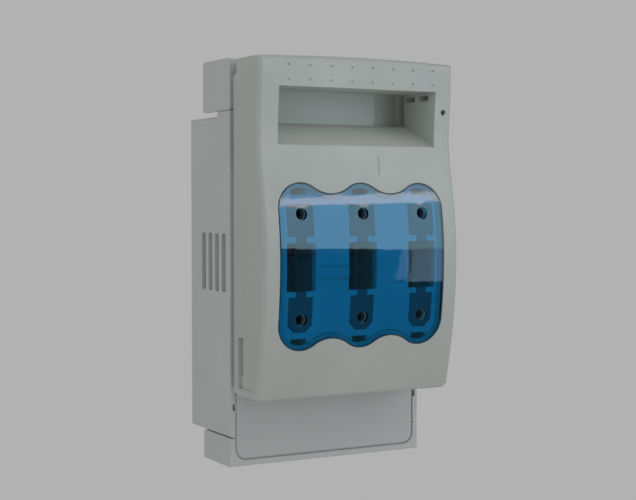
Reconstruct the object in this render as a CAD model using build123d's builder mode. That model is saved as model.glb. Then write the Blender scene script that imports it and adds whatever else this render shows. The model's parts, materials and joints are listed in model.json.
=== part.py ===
"""Three-pole fuse switch disconnector (fuse box panel) for size 00 blade fuse-links.

Frame: +X to the right, +Z up, and the front looks along -Y. The origin is the centre of the four
mounting screws on the back face. Depths below are distances from the back face towards the front,
so a point at depth d lies at y = -d. Everything is in millimetres.
"""

import os
from math import cos, radians

from build123d import *

# ---------------------------------------------------------------- driving dimensions
WIDTH = 106.0
WALL = 2.5
HALF = WIDTH / 2
INNER = HALF - WALL

POLE_PITCH = 33.0
POLES = (-POLE_PITCH, 0.0, POLE_PITCH)
FUSE_Z = -1.2  # height of the fuse-link centres

HOUSING_LOW, HOUSING_HIGH = -84.2, 70.0
HOUSING_DEPTH = 45.7
FLOOR = 3.5  # thickness of the back plate

SHROUD_BACK = 14.7  # the shrouds start this far in front of the back face
SHROUD_TOP = 97.2
SHROUD_BOTTOM = -98.5
TOP_GAP = 2.6  # open gap between the housing and the top shroud
BOTTOM_GAP = 0.4

LID_BACK = 49.9
LID_LOW, LID_HIGH = -63.4, 95.9
LID_ARCH = 1.2  # the lid's top edge rises this much in the middle
EDGE_ROUND = 1.8  # rounding between the lid's front and its flanks

HINGE_DEPTH, HINGE_Z = 53.0, -58.5
HINGE_PIN_R = 2.9
HINGE_HOLE_R = 2.96
EYE_R = 4.6

MOUNT_X, MOUNT_Z = POLE_PITCH / 2, 50.0
MOUNT_HOLE_R = 2.75
MOUNT_BOSS_R = 5.4
MOUNT_BOSS_H = 9.0

BAR_BACK, BAR_FRONT = 17.0, 20.0  # depth of the copper bars
JAW_NEAR, JAW_FAR = 32.6, 41.0  # height of a jaw above the fuse centre
JAW_GAP = 6.4
JAW_THICK = 1.6
TOP_SCREW_Z, BOTTOM_SCREW_Z = 60.0, -72.0
FIX_SCREW = 47.0  # distance of the contact fixing screws from the fuse centre

BLADE_BACK, BLADE_FRONT = 31.5, 46.5
FUSE_BACK, FUSE_FRONT = 16.5, 56.5
LUG_BACK, LUG_FRONT = 66.5, 69.5  # the grip lugs' heads
FUSE_HALF = 22.0  # half the height of the ceramic body
END_PLATE = 2.5
BLADE_TIP = 39.2
FUSE_WIDTH = 21.0

WINDOW_THICK = 1.8
WINDOW_GAP = 0.6  # width of the dark seal round the window
WINDOW_SEAT = 2.0  # depth of the pocket that the window lies in
GASKET_INSET = 0.4
LOBE_R = 12.6
LOBE_X, LOBE_Z = 32.4, 26.6
VALLEY_R = 15.5
TEST_HOLE_R = 2.9
TEST_Z = 24.5  # test holes above and below the fuse centre

RECESS_LEFT, RECESS_RIGHT = -42.5, 43.4
RECESS_TOP, RECESS_BOTTOM = 82.4, 55.3
RECESS_BACK = 50.4
RECESS_SKIN = 2.0
POCKET_BACK = 42.0
UNDERCUT = 47.0  # behind its right wall the recess reaches out to this x
UNDERCUT_FRONT = 47.7
LID_WALL = 2.2
RIM_DEPTH = 3.8  # the front is this thick round the window
TICK_DEPTH = 0.35
DIMPLE_FLOOR = 76.25
FLANK_SLOT = 3.2  # depth of the blind slots in the lid's flanks
EAR_SLOT = 1.6  # and in front of the hinge ear

os.makedirs("parts", exist_ok=True)
made = []


def block(x, d, z, mode=Mode.ADD):
    """A box between two x values, two depths and two heights."""
    with BuildSketch(Plane.XZ.offset(d[0])) as profile:
        with Locations(((x[0] + x[1]) / 2, (z[0] + z[1]) / 2)):
            Rectangle(x[1] - x[0], z[1] - z[0])
    extrude(profile.sketch, amount=d[1] - d[0], mode=mode)


def disc(x, z, radius, d, mode=Mode.ADD):
    """A cylinder along the depth, between two depths."""
    with BuildSketch(Plane.XZ.offset(d[0])) as profile:
        with Locations((x, z)):
            Circle(radius)
    extrude(profile.sketch, amount=d[1] - d[0], mode=mode)


def hexagon(x, z, across_flats, d, mode=Mode.ADD):
    """A hexagonal prism along the depth."""
    with BuildSketch(Plane.XZ.offset(d[0])) as profile:
        with Locations((x, z)):
            RegularPolygon(across_flats / 2, 6, major_radius=False)
    extrude(profile.sketch, amount=d[1] - d[0], mode=mode)


def axle(x, d, z, radius, mode=Mode.ADD):
    """A cylinder along X, between two x values."""
    with BuildSketch(Plane.YZ.offset(x[0])) as profile:
        with Locations((-d, z)):
            Circle(radius)
    extrude(profile.sketch, amount=x[1] - x[0], mode=mode)


def finish(builder, name):
    """Labels a finished piece and writes its STEP file."""
    builder.part.label = name
    export_step(builder.part, f"parts/{name}.step")
    made.append(name)


# ---------------------------------------------------------------- housing
COVER_HALF = 49.7
COVER_LOW, COVER_HIGH = -94.7, -63.5
COVER_CORNER = 5.0
COVER_FLANGE = 0.65  # the cover's rear layer reaches this far under the joint line
GROOVE = 0.8  # joint line round the terminal cover
LEDGE_BACK, LEDGE_FRONT = 41.0, 43.0  # ledges that lie behind this joint line
LEDGE_HALF = 47.0
SIDE_RIB = 31.5  # in front of this depth the side walls reach up to the top shroud


def vents(side):
    """Four upright cooling slots through one side wall."""
    with BuildSketch(Plane.YZ.offset(side * HALF - 4)) as profile:
        with Locations(*[(-(15.2 + 7.67 * i), -0.5) for i in range(4)]):
            RectangleRounded(4.6, 28.2, 1.0)
    extrude(profile.sketch, amount=8, mode=Mode.SUBTRACT)


def hinge_bracket(side):
    """Arm that carries a hinge pin in front of the housing's side wall."""
    near, far = sorted((side * 44.4, side * 47.4))
    with BuildSketch(Plane.YZ.offset(near)) as profile:
        with Locations((-(36.0 + HINGE_DEPTH) / 2, HINGE_Z)):
            Rectangle(HINGE_DEPTH - 36.0, 2 * EYE_R)
        with Locations((-HINGE_DEPTH, HINGE_Z)):
            Circle(EYE_R)
            Circle(HINGE_PIN_R, mode=Mode.SUBTRACT)
    extrude(profile.sketch, amount=far - near)
    foot = sorted((side * 44.4, side * (INNER + 0.5)))
    block(foot, (36.0, 43.0), (HINGE_Z - EYE_R, HINGE_Z + EYE_R))


with BuildPart() as housing:
    with BuildSketch(Plane.XZ):
        with Locations((0, (HOUSING_LOW + HOUSING_HIGH) / 2)):
            RectangleRounded(WIDTH, HOUSING_HIGH - HOUSING_LOW, 1.2)
    extrude(amount=HOUSING_DEPTH)
    block((-INNER, INNER), (FLOOR, HOUSING_DEPTH), (HOUSING_LOW + WALL, HOUSING_HIGH - WALL), Mode.SUBTRACT)
    # the end walls stop behind the lid, and open for the cables of each pole
    block((-INNER, INNER), (34.0, HOUSING_DEPTH), (60, HOUSING_HIGH), Mode.SUBTRACT)
    block((-INNER, INNER), (42.0, HOUSING_DEPTH), (HOUSING_LOW, -75), Mode.SUBTRACT)
    for pole in POLES:
        block((pole - 11.5, pole + 11.5), (12.0, 34.0), (60, HOUSING_HIGH), Mode.SUBTRACT)
        block((pole - 11.5, pole + 11.5), (12.0, 42.0), (HOUSING_LOW, -75), Mode.SUBTRACT)
    for side in (-1, 1):
        rib = sorted((side * INNER, side * HALF))
        block(rib, (SIDE_RIB, HOUSING_DEPTH), (HOUSING_HIGH - 3, HOUSING_HIGH + TOP_GAP - 0.3))
        vents(side)
        hinge_bracket(side)
        # guide slots for the tongues of the two shrouds
        guide = sorted((side * (INNER - 2.6), side * INNER))
        block(guide, (26.7, 39.3), (HOUSING_HIGH - 6, HOUSING_HIGH), Mode.SUBTRACT)
        block(guide, (26.7, 42.0), (HOUSING_LOW, HOUSING_LOW + 6), Mode.SUBTRACT)
        # ledges behind the joint line of the terminal cover, with a release hole above them
        ledge = sorted((side * LEDGE_HALF, side * (INNER + 0.5)))
        block(ledge, (LEDGE_BACK, LEDGE_FRONT), (HOUSING_LOW, -72.0))
        hole = sorted((side * (INNER - 1), side * (INNER + 1.3)))
        block(hole, (LEDGE_BACK, HOUSING_DEPTH), (-71.3, -68.2), Mode.SUBTRACT)
        # divider between the terminals of two poles
        divider = (side * POLE_PITCH / 2 - 1, side * POLE_PITCH / 2 + 1)
        block(divider, (FLOOR, 33.5), (57.0, HOUSING_HIGH))
        block(divider, (FLOOR, 41.5), (HOUSING_LOW, -57.0))
        for height in (-MOUNT_Z, MOUNT_Z):
            disc(side * MOUNT_X, height, MOUNT_BOSS_R, (0, MOUNT_BOSS_H))
            disc(side * MOUNT_X, height, MOUNT_HOLE_R, (0, MOUNT_BOSS_H), Mode.SUBTRACT)
    for pole in POLES:
        # seats under the jaws, the fixing screws and the terminals
        for away in (-1, 1):
            seat = sorted((FUSE_Z + away * (JAW_NEAR - 0.5), FUSE_Z + away * (JAW_FAR + 0.5)))
            block((pole - 7.5, pole + 7.5), (FLOOR, 16.0), seat)
            seat = sorted((FUSE_Z + away * (FIX_SCREW - 4), FUSE_Z + away * (FIX_SCREW + 4)))
            block((pole - 7.5, pole + 7.5), (FLOOR, BAR_BACK), seat)
            disc(pole, FUSE_Z + away * FIX_SCREW, 2.0, (6.0, BAR_BACK), Mode.SUBTRACT)
        for height in (TOP_SCREW_Z, BOTTOM_SCREW_Z):
            block((pole - 9, pole + 9), (FLOOR, BAR_BACK), (height - 7.4, height + 7.4))
            hexagon(pole, height, 13.2, (10.2, BAR_BACK), Mode.SUBTRACT)
            disc(pole, height, 4.6, (5.0, 10.2), Mode.SUBTRACT)
    # shallow coring pockets in the back face
    for pole in POLES:
        block((pole - 10, pole + 10), (0, 1.2), (-42, 42), Mode.SUBTRACT)
    for height in (-70, 58):
        block((-44, 44), (0, 1.2), (height - 4, height + 4), Mode.SUBTRACT)
finish(housing, "rear_housing")


# ---------------------------------------------------------------- phase barriers
def phase_barrier(x):
    with BuildPart() as barrier:
        with BuildSketch(Plane.YZ.offset(x - 1)) as profile:
            with Locations((-(FLOOR + 45.0) / 2, 0)):
                Rectangle(45.0 - FLOOR, 87)
        extrude(profile.sketch, amount=2)
        front = barrier.faces().sort_by(Axis.Y)[0]
        chamfer(front.edges().filter_by(Axis.Z), 0.6)
    return barrier


finish(phase_barrier(-POLE_PITCH / 2), "phase_barrier_left")
finish(phase_barrier(POLE_PITCH / 2), "phase_barrier_right")

# ---------------------------------------------------------------- hinge pins
for side, word in ((-1, "left"), (1, "right")):
    with BuildPart() as pin:
        axle(sorted((side * 44.4, side * 50.6)), HINGE_DEPTH, HINGE_Z, HINGE_PIN_R)
        outer = pin.faces().filter_by(Axis.X).sort_by(Axis.X)[-1 if side > 0 else 0]
        chamfer(outer.edges(), 0.5)
    finish(pin, f"hinge_pin_{word}")


# ---------------------------------------------------------------- contacts
def contact(pole, away, screw_z):
    """Copper bar with a jaw for one fuse blade at one end and a terminal hole at the other."""
    near = FUSE_Z + away * JAW_NEAR
    far = FUSE_Z + away * JAW_FAR
    end = screw_z + away * 7.4
    leg = JAW_GAP / 2
    root = leg + JAW_THICK
    with BuildPart() as bar:
        block((pole - root, pole + root), (BAR_BACK, BAR_FRONT), sorted((near, far)))
        block((pole - 9, pole + 9), (BAR_BACK, BAR_FRONT), sorted((far, end)))
        disc(pole, screw_z, 4.3, (BAR_BACK, BAR_FRONT), Mode.SUBTRACT)
        disc(pole, FUSE_Z + away * FIX_SCREW, 2.2, (BAR_BACK, BAR_FRONT), Mode.SUBTRACT)
        low, high = sorted((near, far))
        for side in (-1, 1):
            with BuildSketch(Plane.XY.offset(low)) as profile:
                with BuildLine():
                    Polyline(
                        (pole + side * leg, -BAR_FRONT + 0.5),
                        (pole + side * leg, -43.5),
                        (pole + side * (leg + 1.6), -48.0),
                        (pole + side * (leg + 1.6 + JAW_THICK), -48.0),
                        (pole + side * root, -43.5),
                        (pole + side * root, -BAR_FRONT + 0.5),
                        close=True,
                    )
                make_face()
            extrude(profile.sketch, amount=high - low)
    return bar


def jaw_spring(pole, away):
    """Steel clip that presses the two legs of a jaw together."""
    low, high = sorted((FUSE_Z + away * (JAW_NEAR + 1), FUSE_Z + away * (JAW_FAR - 1)))
    inner = JAW_GAP / 2 + JAW_THICK
    outer = inner + 0.8
    block((pole - outer, pole + outer), (16.0, 16.8), (low, high))
    for side in (-1, 1):
        block(sorted((pole + side * inner, pole + side * outer)), (16.0, 41.0), (low, high))


ENDS = ((1, "upper", TOP_SCREW_Z), (-1, "lower", BOTTOM_SCREW_Z))
for away, word, screw_z in ENDS:
    for number, pole in enumerate(POLES, 1):
        finish(contact(pole, away, screw_z), f"{word}_contact_{number}")
    with BuildPart() as springs:
        for pole in POLES:
            jaw_spring(pole, away)
    finish(springs, f"{word}_jaw_springs")

# ---------------------------------------------------------------- terminal hardware
WASHER = 1.6
for away, word, screw_z in ENDS:
    with BuildPart() as screws:
        for pole in POLES:
            disc(pole, screw_z, 4.0, (6.0, BAR_FRONT + WASHER))
            hexagon(pole, screw_z, 13.0, (BAR_FRONT + WASHER, BAR_FRONT + WASHER + 5.3))
        heads = screws.faces().filter_by(Axis.Y).group_by(Axis.Y)[0]
        chamfer(heads.edges(), 0.5)
    finish(screws, f"{word}_terminal_screws")
    with BuildPart() as washers:
        for pole in POLES:
            disc(pole, screw_z, 7.6, (BAR_FRONT, BAR_FRONT + WASHER))
            disc(pole, screw_z, 4.2, (BAR_FRONT, BAR_FRONT + WASHER), Mode.SUBTRACT)
    finish(washers, f"{word}_terminal_washers")
    with BuildPart() as nuts:
        for pole in POLES:
            hexagon(pole, screw_z, 13.0, (10.4, 16.9))
            disc(pole, screw_z, 4.0, (10.4, 16.9), Mode.SUBTRACT)
    finish(nuts, f"{word}_terminal_nuts")
    with BuildPart() as fixings:
        for pole in POLES:
            disc(pole, FUSE_Z + away * FIX_SCREW, 2.0, (7.0, BAR_FRONT))
            disc(pole, FUSE_Z + away * FIX_SCREW, 3.8, (BAR_FRONT, BAR_FRONT + 2.6))
            with BuildSketch(Plane.XZ.offset(BAR_FRONT + 1.4)):
                with Locations((pole, FUSE_Z + away * FIX_SCREW)):
                    Rectangle(4.6, 1.0)
                    Rectangle(1.0, 4.6)
            extrude(amount=2, mode=Mode.SUBTRACT)
    finish(fixings, f"{word}_contact_screws")

# ---------------------------------------------------------------- arc chambers
CHUTE_NEAR, CHUTE_FAR = 42.6, 52.2  # heights from the fuse centre
PLATE_HALF = 9.8
PLATE_DEPTHS = [26.0 + 3.6 * i for i in range(5)]


def arc_plates(pole, away):
    """Five notched steel plates that split the arc in front of a jaw."""
    for depth in PLATE_DEPTHS:
        with BuildSketch(Plane.XZ.offset(depth)) as profile:
            with BuildLine():
                Polyline(
                    (pole - PLATE_HALF, FUSE_Z + away * CHUTE_NEAR),
                    (pole - 3.6, FUSE_Z + away * CHUTE_NEAR),
                    (pole, FUSE_Z + away * (CHUTE_NEAR + 4.6)),
                    (pole + 3.6, FUSE_Z + away * CHUTE_NEAR),
                    (pole + PLATE_HALF, FUSE_Z + away * CHUTE_NEAR),
                    (pole + PLATE_HALF, FUSE_Z + away * CHUTE_FAR),
                    (pole - PLATE_HALF, FUSE_Z + away * CHUTE_FAR),
                    close=True,
                )
            make_face()
        extrude(profile.sketch, amount=1.0)


for away, word, _ in ENDS:
    for number, pole in enumerate(POLES, 1):
        with BuildPart() as plates:
            arc_plates(pole, away)
        finish(plates, f"{word}_arc_plates_{number}")
    with BuildPart() as cheeks:
        span = sorted((FUSE_Z + away * (CHUTE_NEAR - 0.6), FUSE_Z + away * (CHUTE_FAR + 0.6)))
        for pole in POLES:
            for side in (-1, 1):
                cheek = sorted((pole + side * PLATE_HALF, pole + side * (PLATE_HALF + 1)))
                block(cheek, (FLOOR, 43.0), span)
    finish(cheeks, f"{word}_arc_cheeks")

# ---------------------------------------------------------------- shrouds and terminal cover
CABLE_HALF = 11.0


def shroud_tongue(side, root, tip):
    """Guide tongue that slides into the housing beside one side wall, on a foot at its root."""
    block(sorted((side * (INNER - 2.2), side * (INNER - 0.2))), (27.0, 39.0), sorted((root, tip)))
    foot = sorted((root, root + (4 if root > tip else -4)))
    block(sorted((side * (INNER - 2.2), side * (HALF - 1))), (27.0, 39.0), foot)


with BuildPart() as top_shroud:
    low = HOUSING_HIGH + TOP_GAP
    with BuildSketch(Plane.YZ.offset(-HALF)):
        with Locations((-(SHROUD_BACK + HOUSING_DEPTH) / 2, (low + SHROUD_TOP) / 2)):
            RectangleRounded(HOUSING_DEPTH - SHROUD_BACK, SHROUD_TOP - low, 1.4)
    extrude(amount=WIDTH)
    block((-INNER, INNER), (0, 34.4), (0, SHROUD_TOP - WALL), Mode.SUBTRACT)
    block((-INNER, INNER), (36.4, 60.0), (0, SHROUD_TOP - WALL), Mode.SUBTRACT)
    block((-INNER, INNER), (36.4, 60.0), (90, 120), Mode.SUBTRACT)
    for pole in POLES:
        block((pole - CABLE_HALF, pole + CABLE_HALF), (0, 32.4), (90, 120), Mode.SUBTRACT)
    block((-INNER + 0.3, INNER - 0.3), (34.4, 36.4), (53.0, low + 2))
    for side in (-1, 1):
        shroud_tongue(side, low + 0.4, 58.0)
finish(top_shroud, "top_terminal_shroud")


with BuildPart() as bottom_shroud:
    high = HOUSING_LOW - BOTTOM_GAP
    with BuildSketch(Plane.YZ.offset(-HALF)):
        with Locations((-(SHROUD_BACK + HOUSING_DEPTH) / 2, (high + SHROUD_BOTTOM) / 2)):
            RectangleRounded(HOUSING_DEPTH - SHROUD_BACK, high - SHROUD_BOTTOM, 1.2)
    extrude(amount=WIDTH)
    block((-INNER, INNER), (0, LEDGE_BACK), (COVER_LOW - GROOVE, high + 9), Mode.SUBTRACT)
    block((-LEDGE_HALF, LEDGE_HALF), (0, 60), (COVER_LOW + 1.6, high + 9), Mode.SUBTRACT)
    with BuildSketch(Plane.XZ.offset(LEDGE_FRONT)):
        with Locations((0, COVER_LOW - GROOVE + 30)):
            RectangleRounded(2 * (COVER_HALF + GROOVE), 60, COVER_CORNER + GROOVE)
    extrude(amount=20, mode=Mode.SUBTRACT)
    for pole in POLES:
        block((pole - CABLE_HALF, pole + CABLE_HALF), (0, 41.0), (-120, -90), Mode.SUBTRACT)
    for side in (-1, 1):
        shroud_tongue(side, high - 0.4, -70.0)
finish(bottom_shroud, "bottom_terminal_shroud")


def cover_layer(grow, d):
    """Plate with two rounded lower corners and a straight upper edge."""
    low = COVER_LOW - grow
    with BuildSketch(Plane.XZ.offset(d[0])) as profile:
        with Locations((0, (low + COVER_HIGH) / 2)):
            RectangleRounded(2 * (COVER_HALF + grow), COVER_HIGH - low, COVER_CORNER + grow)
        with Locations((0, COVER_HIGH - 5)):
            Rectangle(2 * (COVER_HALF + grow), 10)
    extrude(profile.sketch, amount=d[1] - d[0])


with BuildPart() as cover:
    cover_layer(0, (HOUSING_DEPTH - 0.9, HOUSING_DEPTH))
    face = cover.faces().sort_by(Axis.Y)[0]
    fillet(face.edges(), 0.5)
    cover_layer(COVER_FLANGE, (HOUSING_DEPTH - 2.4, HOUSING_DEPTH - 0.9))
    # narrower upper part that reaches under the lid between the hinge brackets
    block((-43.5, 43.5), (HOUSING_DEPTH - 2.4, HOUSING_DEPTH - 0.3), (COVER_HIGH - 8, -52))
    for side in (-1, 1):
        # clip that springs into the housing's cable opening
        block(sorted((side * 42.2, side * 43.8)), (36.0, HOUSING_DEPTH - 2), (-88, -76))
finish(cover, "bottom_terminal_cover")


# ---------------------------------------------------------------- lid
FRONT_LINE = [  # depth and height along the middle of the lid's front
    (76.4, 95.9),
    (76.3, 78.0),
    (75.2, 58.0),
    (78.2, 37.0),
    (81.6, 14.0),
    (82.0, -6.0),
    (79.9, -29.0),
    (72.9, -63.4),
]


def front_line(inset, top=LID_HIGH, bottom=LID_LOW):
    """The lid's front line moved back by inset, as the (y, z) points of a spline."""
    points = [(-(depth - inset), height) for depth, height in FRONT_LINE]
    points[0] = (points[0][0], top)
    points[-1] = (points[-1][0], bottom)
    return points


def lid_slab(inset, half_width, top, bottom, back, mode=Mode.ADD):
    """Solid between a back plane and the lid's front line, both moved in by inset."""
    points = front_line(inset, top, bottom)
    with BuildSketch(Plane.YZ.offset(-half_width)) as profile:
        with BuildLine():
            Spline(*points)
            Polyline(points[-1], (-back, bottom), (-back, top), points[0])
        make_face()
    extrude(profile.sketch, amount=2 * half_width, mode=mode)


def behind_front(inset, mode):
    """Everything in the lid that lies at least inset behind its front line."""
    lid_slab(inset, HALF + 1, LID_HIGH + 9, LID_LOW - 9, 20, mode)


def window_prism(shrink, mode):
    """Prism along the depth over the wavy outline, which has a lobe above and below each pole."""
    lobe, valley = LOBE_R - shrink, VALLEY_R + shrink
    middle = LOBE_X / 2
    rise = ((LOBE_R + VALLEY_R) ** 2 - middle**2) ** 0.5
    share = lobe / (LOBE_R + VALLEY_R)
    side = LOBE_X + lobe
    touch_z = LOBE_Z + rise * share
    upper = [
        (-side, LOBE_Z),
        (-LOBE_X - lobe * cos(radians(45)), LOBE_Z + lobe * cos(radians(45))),
        (-LOBE_X + middle * share, touch_z),
        (-middle, LOBE_Z + rise - valley),
        (-middle * share, touch_z),
        (0, LOBE_Z + lobe),
        (middle * share, touch_z),
        (middle, LOBE_Z + rise - valley),
        (LOBE_X - middle * share, touch_z),
        (LOBE_X + lobe * cos(radians(45)), LOBE_Z + lobe * cos(radians(45))),
        (side, LOBE_Z),
    ]
    with BuildSketch(Plane.XZ.offset(40)) as profile:
        with BuildLine():
            for sign in (1, -1):
                points = [(x, FUSE_Z + sign * z) for x, z in upper]
                for first in range(0, 10, 2):
                    ThreePointArc(*points[first : first + 3])
            for x in (-side, side):
                Line((x, FUSE_Z + LOBE_Z), (x, FUSE_Z - LOBE_Z))
        make_face()
    extrude(profile.sketch, amount=60, mode=mode)


def recess_bulk(grow, mode=Mode.ADD):
    """The finger recess, grown on every side but the front by grow."""
    with BuildSketch(Plane.YZ.offset(RECESS_LEFT - grow)) as profile:
        with BuildLine():
            Polyline(
                (-90, RECESS_TOP + grow),
                (-RECESS_BACK + grow, RECESS_TOP + grow),
                (-RECESS_BACK + grow, 66.6 - grow),
                (-RECESS_BACK - 4, 65.2 - grow),
            )
            Spline(
                (-RECESS_BACK - 4, 65.2 - grow),
                (-64.0, 60.4 - grow),
                (-75.4, RECESS_BOTTOM - grow),
            )
            Polyline((-75.4, RECESS_BOTTOM - grow), (-90, 48.6 - grow), (-90, RECESS_TOP + grow))
        make_face()
    extrude(profile.sketch, amount=RECESS_RIGHT - RECESS_LEFT + 2 * grow, mode=mode)


def recess_pocket(grow, mode=Mode.ADD):
    """Deeper hollow at the right end of the recess, which falls away in a curve from its back wall."""
    left = 22.0 - grow
    with BuildSketch(Plane.XY.offset(66.6 - grow)) as profile:
        with BuildLine():
            Spline(
                (left, -RECESS_BACK - 0.5 + grow),
                (27.0 - grow, -49.3 + grow),
                (34.0 - grow, -46.0 + grow),
                (42.0 - grow, -POCKET_BACK + grow),
            )
            Polyline(
                (42.0 - grow, -POCKET_BACK + grow),
                (UNDERCUT + grow, -POCKET_BACK + grow),
                (UNDERCUT + grow, -UNDERCUT_FRONT - grow),
                (RECESS_RIGHT + grow, -UNDERCUT_FRONT - grow),
                (RECESS_RIGHT + grow, -RECESS_BACK - 2),
                (left, -RECESS_BACK - 2),
                (left, -RECESS_BACK - 0.5 + grow),
            )
        make_face()
    extrude(profile.sketch, amount=RECESS_TOP - 66.6 + 2 * grow, mode=mode)


def front_view(inset):
    """Prism over the lid's outline seen from the front, moved in by inset."""
    half = HALF - inset
    top = LID_HIGH - inset
    with BuildSketch(Plane.XZ.offset(0)) as profile:
        with BuildLine():
            ThreePointArc((-half, top), (0, top + LID_ARCH), (half, top))
            Polyline((half, top), (half, LID_LOW + inset), (-half, LID_LOW + inset), (-half, top))
        make_face()
        corners = profile.vertices().group_by(Axis.Y)
        fillet(corners[0], 3.4 - inset)
        fillet(corners[-1], 2.6 - inset / 2)
    extrude(profile.sketch, amount=100, mode=Mode.INTERSECT)


with BuildPart() as lid_outer:
    lid_slab(0, HALF + 1, LID_HIGH + 3, LID_LOW, LID_BACK)
    front_view(0)
    nose = lid_outer.faces().sort_by(Axis.Y)[0]
    fillet(nose.edges(), EDGE_ROUND)

with BuildPart() as lid_inner:
    lid_slab(LID_WALL, HALF, LID_HIGH + 3, LID_LOW, 30)
    front_view(LID_WALL)

with BuildPart() as recess_wall:
    recess_bulk(RECESS_SKIN)
    recess_pocket(RECESS_SKIN)
    lid_slab(1.0, HALF, LID_HIGH, LID_LOW, 30, Mode.INTERSECT)

with BuildPart() as window_rim:
    window_prism(-2.0, Mode.ADD)
    lid_slab(1.0, HALF, LID_HIGH, LID_LOW, 30, Mode.INTERSECT)
    behind_front(RIM_DEPTH, Mode.SUBTRACT)

with BuildPart() as window_seat:
    window_prism(0, Mode.ADD)
    behind_front(WINDOW_SEAT, Mode.SUBTRACT)


with BuildPart() as tick:
    block((10.3, 11.3), (70.0, 90.0), (41.5, 50.4))
    behind_front(TICK_DEPTH, Mode.SUBTRACT)


def hinge_ear(side):
    """Boss inside one flank that turns on a hinge pin."""
    near, far = sorted((side * 47.6, side * (HALF - LID_WALL + 0.2)))
    with BuildSketch(Plane.YZ.offset(near)) as profile:
        with Locations((-HINGE_DEPTH, HINGE_Z)):
            Circle(EYE_R)
        with Locations((-HINGE_DEPTH, HINGE_Z - 2.1)):
            Rectangle(6.2, 5.2)
    extrude(profile.sketch, amount=far - near)
    axle(sorted((side * 47.0, side * 50.7)), HINGE_DEPTH, HINGE_Z, HINGE_HOLE_R, Mode.SUBTRACT)


with BuildPart() as lid:
    add(lid_outer.part)
    add(lid_inner.part, mode=Mode.SUBTRACT)
    add(recess_wall.part)
    recess_bulk(0, Mode.SUBTRACT)
    recess_pocket(0, Mode.SUBTRACT)
    add(window_rim.part)
    add(window_seat.part, mode=Mode.SUBTRACT)
    window_prism(2.6, Mode.SUBTRACT)
    # two slots through the recess's right wall, under its ceiling
    block((RECESS_RIGHT - 1, RECESS_RIGHT + 3), (48.7, 58.9), (78.6, 81.2), Mode.SUBTRACT)
    block((RECESS_RIGHT - 1, RECESS_RIGHT + 3), (61.7, 69.8), (78.6, 81.2), Mode.SUBTRACT)
    for side in (-1, 1):
        step = sorted((side * (HALF - 0.4), side * (HALF + 1)))
        block(step, (58.9, 69.5), (-59.1, -35.0), Mode.SUBTRACT)
        hinge_ear(side)
        # slot in the flank, blind and shallower where the hinge ear is behind it
        block(sorted((side * (HALF - FLANK_SLOT - 1.2), side * (HALF - 1))), (53.3, 60.1), (-53.4, -33.8))
        block(sorted((side * (HALF - FLANK_SLOT), side * (HALF + 1))), (54.5, 58.9), (-53.0, -35.0), Mode.SUBTRACT)
        block(sorted((side * (HALF - EAR_SLOT), side * (HALF + 1))), (54.5, 58.9), (-59.1, -53.0), Mode.SUBTRACT)
        # round cut-out in the flank's rear edge, near the top
        axle(sorted((side * (HALF - 3), side * (HALF + 1))), 50.2, 91.5, 3.3, Mode.SUBTRACT)
        block(sorted((side * 44.0, side * 47.6)), (40.0, HINGE_DEPTH + 5.3), (-70, -60), Mode.SUBTRACT)
    # seal hole, and a tick above the window
    disc(48.4, 72.5, 1.4, (70.0, 80.0), Mode.SUBTRACT)
    add(tick.part, mode=Mode.SUBTRACT)
    # two rows of small dimples on the top bar
    for height in (85.5, 92.2):
        for i in range(8):
            dimple = (-38.5 + 11.3 * i, -37.2 + 11.3 * i)
            block(dimple, (DIMPLE_FLOOR, 80), (height - 0.4, height + 0.4), Mode.SUBTRACT)
finish(lid, "lid_shell")

with BuildPart() as window:
    window_prism(WINDOW_GAP, Mode.ADD)
    lid_slab(0, HALF, LID_HIGH, LID_LOW, 30, Mode.INTERSECT)
    behind_front(WINDOW_THICK, Mode.SUBTRACT)
    for pole in POLES:
        for away in (-1, 1):
            disc(pole, FUSE_Z + away * TEST_Z, TEST_HOLE_R, (60, 100), Mode.SUBTRACT)
finish(window, "viewing_window")

with BuildPart() as gasket:
    window_prism(0, Mode.ADD)
    window_prism(WINDOW_GAP, Mode.SUBTRACT)
    lid_slab(GASKET_INSET, HALF, LID_HIGH, LID_LOW, 30, Mode.INTERSECT)
    behind_front(WINDOW_SEAT, Mode.SUBTRACT)
finish(gasket, "window_gasket")

# ---------------------------------------------------------------- fuse carrier in the lid
CARRIER_HALF = 48.3
CARRIER_LOW, CARRIER_HIGH = -47.0, 46.0
FACE_INSET = 2.3  # behind the window the carrier lies this far behind the lid's front line
PLATE_INSET = 4.0  # and this far elsewhere
PLATE_REAR = 6.0
NECK_HALF = 2.6
TONGUE_NEAR = 14.2  # height from the fuse centre
TONGUES = {1: (6.8, 28.8, 0.8), -1: (6.2, 30.2, 3.4)}  # half width, far end and cut corners
OPENING_HALF = 7.6
OPENING_LOW, OPENING_HIGH = -12.6, 9.8


def tongue(pole, away, grow, mode=Mode.ADD):
    """Prism over the plate that covers one grip lug, with a neck towards the middle."""
    half, far, corner = TONGUES[away]
    half += grow
    near = FUSE_Z + away * (TONGUE_NEAR - grow)
    far = FUSE_Z + away * (far + grow)
    with BuildSketch(Plane.XZ.offset(60)) as profile:
        with BuildLine():
            Polyline(
                (pole - half, near),
                (pole - half, far - away * corner),
                (pole - half + corner, far),
                (pole + half - corner, far),
                (pole + half, far - away * corner),
                (pole + half, near),
                close=True,
            )
        make_face()
    extrude(profile.sketch, amount=30, mode=mode)
    neck = sorted((FUSE_Z + away * (11.4 - 2 * grow), FUSE_Z + away * (TONGUE_NEAR + 1)))
    block((pole - NECK_HALF - grow, pole + NECK_HALF + grow), (60, 90), neck, mode)


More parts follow.
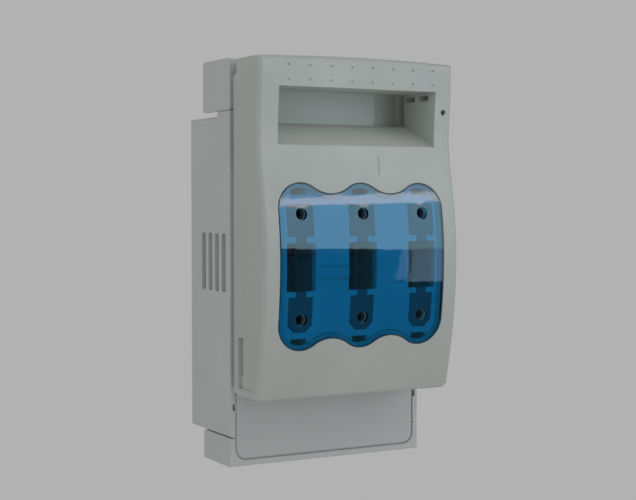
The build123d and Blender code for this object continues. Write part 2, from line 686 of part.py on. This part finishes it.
with BuildPart() as carrier_frame:
    for side in (-1, 1):
        wall = sorted((side * (CARRIER_HALF - 1.8), side * CARRIER_HALF))
        block(wall, (46.4, 90), (CARRIER_LOW, CARRIER_HIGH))
        rib = (side * POLE_PITCH / 2 - 0.8, side * POLE_PITCH / 2 + 0.8)
        block(rib, (47.0, 90), (CARRIER_LOW + 3, CARRIER_HIGH - 3))
    block((-CARRIER_HALF, CARRIER_HALF), (60.0, 90), (CARRIER_LOW, CARRIER_LOW + 1.8))
    block((-CARRIER_HALF, CARRIER_HALF), (60.0, 90), (CARRIER_HIGH - 1.8, CARRIER_HIGH))
    behind_front(PLATE_REAR - 1, Mode.INTERSECT)

with BuildPart() as carrier_face:
    window_prism(2.9, Mode.ADD)
    behind_front(FACE_INSET, Mode.INTERSECT)

# shallow steps in the face between the poles
with BuildPart() as carrier_steps:
    block((-24.6, -8.4), (60, 90), (-1.9, -0.5))
    block((-24.6, -8.4), (60, 90), (-8.0, -5.6))
    block((8.4, 22.8), (60, 90), (-10.0, 2.1))
    behind_front(FACE_INSET + 0.7, Mode.SUBTRACT)

with BuildPart() as carrier:
    block((-CARRIER_HALF, CARRIER_HALF), (60, 90), (CARRIER_LOW, CARRIER_HIGH))
    behind_front(PLATE_INSET, Mode.INTERSECT)
    add(carrier_face.part)
    behind_front(PLATE_REAR, Mode.SUBTRACT)
    add(carrier_frame.part)
    add(carrier_steps.part, mode=Mode.SUBTRACT)
    for pole in POLES:
        block((pole - OPENING_HALF, pole + OPENING_HALF), (60, 90), (OPENING_LOW, OPENING_HIGH), Mode.SUBTRACT)
        for away in (-1, 1):
            tongue(pole, away, 0.25, Mode.SUBTRACT)
            window_tab = sorted((FUSE_Z + away * 33.4, FUSE_Z + away * 39.4))
            block((pole - 4.2, pole + 4.2), (65, 90), window_tab, Mode.SUBTRACT)
finish(carrier, "fuse_carrier")

# plates that hook the fuse-links' grip lugs, two for each pole, with a hole for the test probe
with BuildPart() as grip_plates:
    for pole in POLES:
        for away in (-1, 1):
            tongue(pole, away, 0)
    behind_front(FACE_INSET + 0.3, Mode.INTERSECT)
    behind_front(PLATE_REAR, Mode.SUBTRACT)
    for pole in POLES:
        for away in (-1, 1):
            disc(pole, FUSE_Z + away * TEST_Z, TEST_HOLE_R - 0.3, (60, 90), Mode.SUBTRACT)

FINGER_END = 75.5
with BuildPart() as grips:
    add(grip_plates.part)
    for pole in POLES:
        for away in (-1, 1):
            arm = sorted((FUSE_Z + away * 25.0, FUSE_Z + away * 26.6))
            toe = sorted((FUSE_Z + away * 23.0, FUSE_Z + away * 26.6))
            for side in (-1, 1):
                finger = sorted((pole + side * 4.2, pole + side * 6.2))
                block(finger, (64.4, FINGER_END), arm)
                block(finger, (64.4, LUG_BACK - 0.2), toe)
finish(grips, "fuse_grips")


# ---------------------------------------------------------------- fuse-links
def fuse_body(pole):
    with BuildPart() as body:
        block(
            (pole - FUSE_WIDTH / 2, pole + FUSE_WIDTH / 2),
            (FUSE_BACK, FUSE_FRONT),
            (FUSE_Z - FUSE_HALF, FUSE_Z + FUSE_HALF),
        )
        fillet(body.edges().filter_by(Axis.Z), 1.8)
        fillet(body.edges().group_by(Axis.Z)[-1], 0.6)
        fillet(body.edges().group_by(Axis.Z)[0], 0.6)
    return body


def fuse_ends(pole):
    """Two end plates, each with a T-shaped grip lug at the front."""
    with BuildPart() as ends:
        for away in (-1, 1):
            span = sorted((FUSE_Z + away * FUSE_HALF, FUSE_Z + away * (FUSE_HALF + END_PLATE)))
            with BuildSketch(Plane.XY.offset(span[0])):
                with Locations((pole, -(18.5 + FUSE_FRONT - 0.5) / 2)):
                    RectangleRounded(FUSE_WIDTH - 1, FUSE_FRONT - 0.5 - 18.5, 2.0)
                with Locations((pole, -(FUSE_FRONT + LUG_FRONT - 3) / 2)):
                    Rectangle(7.6, LUG_FRONT - FUSE_FRONT)
                with Locations((pole, -(LUG_BACK + LUG_FRONT) / 2)):
                    RectangleRounded(15.0, LUG_FRONT - LUG_BACK, 1.0)
            extrude(amount=END_PLATE)
    return ends


def fuse_blades(pole):
    with BuildPart() as blades:
        for away in (-1, 1):
            near, far = FUSE_Z + away * (FUSE_HALF + END_PLATE), FUSE_Z + away * BLADE_TIP
            block((pole - 3, pole + 3), (BLADE_BACK, BLADE_FRONT), sorted((near, far)))
        rear = blades.edges().filter_by(Axis.Z).group_by(Axis.Y)[-1]
        chamfer(rear, 1.0)
    return blades


def fuse_label(pole):
    with BuildPart() as label:
        block((pole - 9.0, pole + 9.0), (FUSE_FRONT, FUSE_FRONT + 0.25), (FUSE_Z - 19, FUSE_Z + 19))
    return label


for number, pole in enumerate(POLES, 1):
    finish(fuse_body(pole), f"fuse_body_{number}")
    finish(fuse_ends(pole), f"fuse_end_plates_{number}")
    finish(fuse_blades(pole), f"fuse_blades_{number}")
    finish(fuse_label(pole), f"fuse_label_{number}")

print(len(made), "pieces written")
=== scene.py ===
"""Looks, light and camera for the fuse switch disconnector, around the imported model."""

import json
import math

import bpy
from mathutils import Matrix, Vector


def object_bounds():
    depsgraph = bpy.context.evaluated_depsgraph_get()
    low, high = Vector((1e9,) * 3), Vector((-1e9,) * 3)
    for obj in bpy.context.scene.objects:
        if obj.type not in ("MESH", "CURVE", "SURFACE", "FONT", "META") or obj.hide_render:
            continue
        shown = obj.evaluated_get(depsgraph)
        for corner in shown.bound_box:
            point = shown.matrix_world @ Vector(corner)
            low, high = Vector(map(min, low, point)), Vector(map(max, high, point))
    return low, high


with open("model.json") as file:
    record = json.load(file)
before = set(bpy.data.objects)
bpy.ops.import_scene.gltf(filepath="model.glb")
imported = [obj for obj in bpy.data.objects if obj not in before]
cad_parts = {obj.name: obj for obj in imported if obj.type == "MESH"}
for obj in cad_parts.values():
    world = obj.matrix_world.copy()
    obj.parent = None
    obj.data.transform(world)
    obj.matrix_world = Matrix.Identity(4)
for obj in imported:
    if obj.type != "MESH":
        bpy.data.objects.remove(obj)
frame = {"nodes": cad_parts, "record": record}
CAD_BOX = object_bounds()
LOW, HIGH = (Vector(corner) for corner in CAD_BOX)
CENTRE = (LOW + HIGH) / 2
nodes = frame["nodes"]


# ---------------------------------------------------------------- node helpers
def linear(value):
    """One sRGB channel from 0 to 255, as a linear number."""
    c = value / 255
    return c / 12.92 if c <= 0.04045 else ((c + 0.055) / 1.055) ** 2.4


def rgb(r, g, b):
    return (linear(r), linear(g), linear(b), 1.0)


class Tree:
    """A material's node tree, with short ways to add what the materials below need."""

    def __init__(self, name):
        self.material = bpy.data.materials.new(name)
        self.material.use_nodes = True
        self.tree = self.material.node_tree
        self.tree.nodes.clear()
        self.output = self.add("ShaderNodeOutputMaterial")
        self.shader = self.add("ShaderNodeBsdfPrincipled")
        self.tree.links.new(self.shader.outputs["BSDF"], self.output.inputs["Surface"])
        self.place = self.add("ShaderNodeTexCoord").outputs["Object"]

    def add(self, kind, **values):
        node = self.tree.nodes.new(kind)
        for key, value in values.items():
            setattr(node, key, value)
        return node

    def link(self, start, end):
        self.tree.links.new(start, end)

    def feed(self, socket, value):
        """Links value into socket when it is another node's output, and sets it otherwise."""
        if hasattr(value, "links"):
            self.link(value, socket)
        else:
            socket.default_value = value

    def noise(self, scale, detail=3.0, rough=0.55, stretch=None):
        node = self.add("ShaderNodeTexNoise")
        node.inputs["Scale"].default_value = scale
        node.inputs["Detail"].default_value = detail
        node.inputs["Roughness"].default_value = rough
        place = self.place
        if stretch:
            mapping = self.add("ShaderNodeMapping")
            mapping.inputs["Scale"].default_value = stretch
            self.link(place, mapping.inputs["Vector"])
            place = mapping.outputs["Vector"]
        self.link(place, node.inputs["Vector"])
        return node.outputs["Fac"]

    def spread(self, value, low, high, to_low, to_high):
        """value moved from the range low to high into to_low to to_high, with its ends cut off."""
        node = self.add("ShaderNodeMapRange")
        limits = {"From Min": low, "From Max": high, "To Min": to_low, "To Max": to_high}
        for key, number in limits.items():
            node.inputs[key].default_value = number
        self.link(value, node.inputs["Value"])
        return node.outputs["Result"]

    def mix(self, share, first, second, kind="MIX"):
        node = self.add("ShaderNodeMix", data_type="RGBA", blend_type=kind)
        # a colour mix takes its share, first and second colour on these three sockets
        for index, value in ((0, share), (6, first), (7, second)):
            self.feed(node.inputs[index], value)
        return node.outputs[2]

    def math(self, kind, first, second):
        node = self.add("ShaderNodeMath", operation=kind)
        for socket, value in zip(node.inputs, (first, second)):
            self.feed(socket, value)
        return node.outputs[0]

    def edges(self, low=0.52, high=0.62):
        """About 1 on sharp outward edges and 0 elsewhere."""
        geometry = self.add("ShaderNodeNewGeometry")
        return self.spread(geometry.outputs["Pointiness"], low, high, 0.0, 1.0)

    def bump(self, height, strength, distance, under=None):
        node = self.add("ShaderNodeBump")
        node.inputs["Strength"].default_value = strength
        node.inputs["Distance"].default_value = distance
        self.link(height, node.inputs["Height"])
        if under is not None:
            self.link(under, node.inputs["Normal"])
        return node.outputs["Normal"]

    def set(self, **values):
        for key, value in values.items():
            self.feed(self.shader.inputs[key.replace("_", " ")], value)


def moulded(name, colour, rough=0.5, grain=1.0, wear=0.25):
    """Fine-grained moulded plastic: cloudy colour, spark-eroded grain, paler worn edges."""
    t = Tree(name)
    cloud = t.spread(t.noise(22, 4), 0.3, 0.7, 0.0, 1.0)
    dark = tuple(c * 0.93 for c in colour[:3]) + (1.0,)
    pale = tuple(min(0.9, c * 1.2 + 0.02) for c in colour[:3]) + (1.0,)
    base = t.mix(cloud, dark, colour)
    speck = t.spread(t.noise(1500, 2), 0.35, 0.65, 0.0, 1.0)
    base = t.mix(t.math("MULTIPLY", speck, 0.10), base, dark)
    base = t.mix(t.math("MULTIPLY", t.edges(), wear), base, pale)
    fine = t.noise(2600, 2, 0.6)
    soft = t.noise(70, 2, 0.5)
    normal = t.bump(soft, 0.05, 0.0006)
    normal = t.bump(fine, 0.16 * grain, 0.00012, normal)
    t.set(
        Base_Color=base,
        Roughness=t.spread(t.noise(35, 3), 0.3, 0.7, rough - 0.05, rough + 0.07),
        IOR=1.46,
        Normal=normal,
    )
    return t.material


def metal(name, colour, rough=0.3, brush=(900, 60, 60), dull=0.8):
    """Plated or rolled metal with a fine directional finish and dull patches."""
    t = Tree(name)
    lines = t.noise(1.0, 3, 0.6, brush)
    patch = t.spread(t.noise(60, 4), 0.35, 0.7, 0.0, 1.0)
    dark = tuple(c * dull for c in colour[:3]) + (1.0,)
    base = t.mix(patch, colour, dark)
    t.set(
        Base_Color=base,
        Metallic=1.0,
        Roughness=t.spread(lines, 0.3, 0.7, rough - 0.08, rough + 0.12),
        Normal=t.bump(lines, 0.12, 0.0001),
    )
    return t.material


def ceramic(name, colour):
    """Glazed ceramic with faint clouds and a few darker specks."""
    t = Tree(name)
    cloud = t.spread(t.noise(45, 4), 0.3, 0.7, 0.0, 1.0)
    dark = tuple(c * 0.88 for c in colour[:3]) + (1.0,)
    base = t.mix(cloud, dark, colour)
    speck = t.spread(t.noise(900, 2), 0.68, 0.72, 0.0, 0.5)
    base = t.mix(speck, base, rgb(120, 108, 92))
    t.set(
        Base_Color=base,
        Roughness=t.spread(t.noise(60, 3), 0.3, 0.7, 0.22, 0.36),
        Coat_Weight=0.3,
        Coat_Roughness=0.1,
        Normal=t.bump(t.noise(160, 3), 0.10, 0.0004),
    )
    return t.material


def clear_blue(name):
    """Clear blue sheet. Lamps shine through it by the shadow-ray mix."""
    t = Tree(name)
    tint = (0.038, 0.475, 0.76, 1.0)
    haze = t.noise(30, 3)
    t.set(
        Base_Color=t.mix(t.spread(haze, 0.3, 0.7, 0.0, 1.0), tint, (0.05, 0.505, 0.79, 1.0)),
        Roughness=t.spread(t.noise(240, 3), 0.4, 0.8, 0.02, 0.06),
        Transmission_Weight=1.0,
        IOR=1.49,
        Normal=t.bump(t.noise(14, 2), 0.03, 0.002),
    )
    open_way = t.add("ShaderNodeBsdfTransparent")
    open_way.inputs["Color"].default_value = (0.35, 0.82, 0.95, 1.0)
    path = t.add("ShaderNodeLightPath")
    mix = t.add("ShaderNodeMixShader")
    t.link(path.outputs["Is Shadow Ray"], mix.inputs[0])
    t.link(t.shader.outputs["BSDF"], mix.inputs[1])
    t.link(open_way.outputs["BSDF"], mix.inputs[2])
    t.link(mix.outputs[0], t.output.inputs["Surface"])
    return t.material


# ---------------------------------------------------------------- materials on the CAD nodes
GREY = rgb(201, 207, 203)
MATERIALS = {
    "lid_plastic": moulded("LidPlastic", GREY),
    "housing_plastic": moulded("HousingPlastic", rgb(210, 213, 212)),
    "carrier_plastic": moulded("CarrierPlastic", rgb(216, 221, 224), 0.45),
    "barrier_plastic": moulded("BarrierPlastic", rgb(205, 201, 190), 0.55),
    "dark_plastic": moulded("DarkPlastic", rgb(101, 101, 106), 0.42),
    # The seal in the window groove is coloured dark so that it also paints the groove's shadow
    # line: partly its own colour, partly painted shade.
    "seal_rubber": moulded("SealRubberPaintedShade", rgb(62, 77, 88), 0.6, 0.5, 0.0),
    "clear_blue": clear_blue("ClearBlue"),
    "silvered_copper": metal("SilveredCopper", rgb(214, 210, 202), 0.28),
    "zinc_steel": metal("ZincSteel", rgb(190, 192, 190), 0.32, (300, 300, 300)),
    "pin_steel": metal("PinSteel", rgb(180, 182, 184), 0.25, (60, 900, 900)),
    "spring_steel": metal("SpringSteel", rgb(140, 143, 148), 0.35),
    "arc_steel": metal("ArcSteel", rgb(170, 172, 174), 0.36, (60, 900, 900)),
    "ceramic": ceramic("Ceramic", rgb(222, 216, 203)),
    "end_plate_steel": metal("EndPlateSteel", rgb(200, 199, 195), 0.3),
    "label_dark": moulded("LabelFilm", rgb(17, 19, 21), 0.6, 0.3, 0.0),
}
for part in frame["record"]["subparts"]:
    slots = nodes[part["node"]].data.materials
    slots.clear()
    slots.append(MATERIALS[part["material_slot"]])

# ---------------------------------------------------------------- stage
BACKDROP = rgb(178, 178, 178)


def flat_colour(name, colour, strength=1.0, fill=None):
    """Even glow. With fill, what the camera doesn't see directly glows by that much instead."""
    t = Tree(name)
    glow = t.add("ShaderNodeEmission")
    glow.inputs["Color"].default_value = colour
    glow.inputs["Strength"].default_value = strength
    surface = glow.outputs["Emission"]
    if fill is not None:
        bounce = t.add("ShaderNodeEmission")
        bounce.inputs["Strength"].default_value = fill
        path = t.add("ShaderNodeLightPath")
        mix = t.add("ShaderNodeMixShader")
        t.link(path.outputs["Is Camera Ray"], mix.inputs[0])
        t.link(bounce.outputs["Emission"], mix.inputs[1])
        t.link(surface, mix.inputs[2])
        surface = mix.outputs[0]
    t.link(surface, t.output.inputs["Surface"])
    return t.material


bpy.ops.mesh.primitive_plane_add(size=12, location=(0, 0, LOW.z - 0.0005))
floor = bpy.context.object
floor.name = "Floor"
floor.data.materials.append(flat_colour("PaleFloor", BACKDROP, fill=0.46))
floor.visible_glossy = False


def studio_world(fill, sky, ground):
    """Pale backdrop for the camera, even fill light, and a dimmer room in the reflections."""
    world = bpy.data.worlds.new("Studio")
    bpy.context.scene.world = world
    world.use_nodes = True
    tree = world.node_tree
    tree.nodes.clear()

    def background(colour, strength):
        node = tree.nodes.new("ShaderNodeBackground")
        node.inputs["Color"].default_value = colour
        node.inputs["Strength"].default_value = strength
        return node

    def choose(share, first, second):
        node = tree.nodes.new("ShaderNodeMixShader")
        for socket, end in zip(node.inputs, (share, first, second)):
            tree.links.new(end, socket)
        return node.outputs[0]

    place = tree.nodes.new("ShaderNodeTexCoord")
    split = tree.nodes.new("ShaderNodeSeparateXYZ")
    tree.links.new(place.outputs["Generated"], split.inputs[0])
    above = tree.nodes.new("ShaderNodeMath")
    above.operation = "GREATER_THAN"
    above.inputs[1].default_value = 0.0
    tree.links.new(split.outputs["Z"], above.inputs[0])
    path = tree.nodes.new("ShaderNodeLightPath")
    white = (1.0, 1.0, 1.0, 1.0)
    below, over = (background(white, strength).outputs[0] for strength in (ground, sky))
    room = choose(above.outputs[0], below, over)
    diffuse = choose(path.outputs["Is Diffuse Ray"], room, background(white, fill).outputs[0])
    seen = choose(path.outputs["Is Camera Ray"], diffuse, background(BACKDROP, 1.0).outputs[0])
    output = tree.nodes.new("ShaderNodeOutputWorld")
    tree.links.new(seen, output.inputs["Surface"])


studio_world(fill=0.36, sky=0.16, ground=0.06)


# ---------------------------------------------------------------- lights
def bearing(azimuth, elevation):
    """Unit vector towards a place round the object, with azimuth 0 in front and positive right."""
    a, e = math.radians(azimuth), math.radians(elevation)
    return Vector((math.sin(a) * math.cos(e), -math.cos(a) * math.cos(e), math.sin(e)))


def softbox(name, azimuth, elevation, distance, size, power, glossy=True, aim=CENTRE, spread=180):
    """Rectangular lamp at a bearing and distance from aim, pointing at it."""
    data = bpy.data.lights.new(name, "AREA")
    data.shape = "RECTANGLE"
    data.size, data.size_y = size
    data.energy = power
    data.spread = math.radians(spread)
    lamp = bpy.data.objects.new(name, data)
    bpy.context.scene.collection.objects.link(lamp)
    back = bearing(azimuth, elevation)
    lamp.location = aim + back * distance
    lamp.rotation_euler = back.to_track_quat("Z", "Y").to_euler()
    lamp.visible_camera = False
    lamp.visible_glossy = glossy


softbox("Front", 6, -6, 1.6, (0.8, 0.6), 0.10, glossy=False)
softbox("KeyRight", 54, 18, 0.5, (0.3, 0.3), 0.24, glossy=False)
softbox("FillLeft", -70, -4, 1.5, (1.2, 1.2), 2.1, glossy=False)
softbox("TopFront", -5, 50, 1.4, (1.0, 0.8), 1.5, glossy=False)
softbox("BackRim", 150, 35, 1.6, (1.0, 1.0), 3.5)

# A narrow beam into the grip recess, which the even light leaves too dark.
RECESS_DEPTH, RECESS_HEIGHT = 0.012, 0.0605  # behind the front of the lid, and above the middle
RECESS = Vector((0.0, LOW.y + RECESS_DEPTH, RECESS_HEIGHT))
SLIT = (0.07, 0.008)
softbox("RecessSnoot", -12, 36, 0.4, SLIT, 0.0008, glossy=False, aim=RECESS, spread=9)

# The cards copy what the window reflects at the camera's angle. They are seen in reflections only.
CARD_DISTANCE = 1.0  # in front of the mounting plane
CARD_SPAN = (0.30, 0.90)
BAND_FOOT, BAND_HEAD = (0.300, 0.360), (0.340, 0.400)  # heights of the bright band at both ends
SIDE_SPAN, STRIP_SPAN = (0.619, 0.90), (0.600, 0.616)
NEUTRAL = (1.0, 1.0, 1.0, 1.0)
BLUISH = (0.72, 1.0, 1.3, 1.0)


def card(name, x, low, high, glow, tint=NEUTRAL):
    """Glowing sheet from x[0] to x[1]. low and high are the heights of its edges at those ends."""
    mesh = bpy.data.meshes.new(name)
    corners = [(x[0], low[0]), (x[1], low[1]), (x[1], high[1]), (x[0], high[0])]
    mesh.from_pydata([(px, -CARD_DISTANCE, pz) for px, pz in corners], [], [(0, 1, 2, 3)])
    mesh.materials.append(flat_colour(name, tint, glow))
    sheet = bpy.data.objects.new(name, mesh)
    bpy.context.scene.collection.objects.link(sheet)
    sheet.visible_camera = sheet.visible_diffuse = sheet.visible_shadow = False
    sheet.visible_transmission = False


card("CardWide", CARD_SPAN, (0.054, -0.005), BAND_FOOT, 1.95, (1.05, 1.72, 2.0, 1.0))
card("CardBand", CARD_SPAN, BAND_FOOT, BAND_HEAD, 6.6)
card("CardUpper", CARD_SPAN, BAND_HEAD, (0.60, 0.66), 2.6, (1.0, 1.25, 1.3, 1.0))
card("CardSide", SIDE_SPAN, (-0.178, -0.20), (0.0226, -0.005), 1.9, BLUISH)
card("CardStrip", STRIP_SPAN, (-0.165, -0.165), (0.0243, 0.0232), 1.2, BLUISH)

# ---------------------------------------------------------------- camera
VIEW_AZIMUTH, VIEW_ELEVATION = -28.85, 2.26
DISTANCE, LENS = 0.676, 77.1
AIM = CENTRE + Vector((-0.0032, -0.0010, 0.0055))
camera_data = bpy.data.cameras.new("Camera")
camera_data.sensor_width = 36.0
camera_data.lens = LENS
camera_data.dof.use_dof = False
camera = bpy.data.objects.new("Camera", camera_data)
bpy.context.scene.collection.objects.link(camera)
back = bearing(VIEW_AZIMUTH, VIEW_ELEVATION)
camera.location = AIM + back * DISTANCE
camera.rotation_euler = back.to_track_quat("Z", "Y").to_euler()
bpy.context.scene.camera = camera
bpy.context.scene.view_settings.view_transform = "Standard"
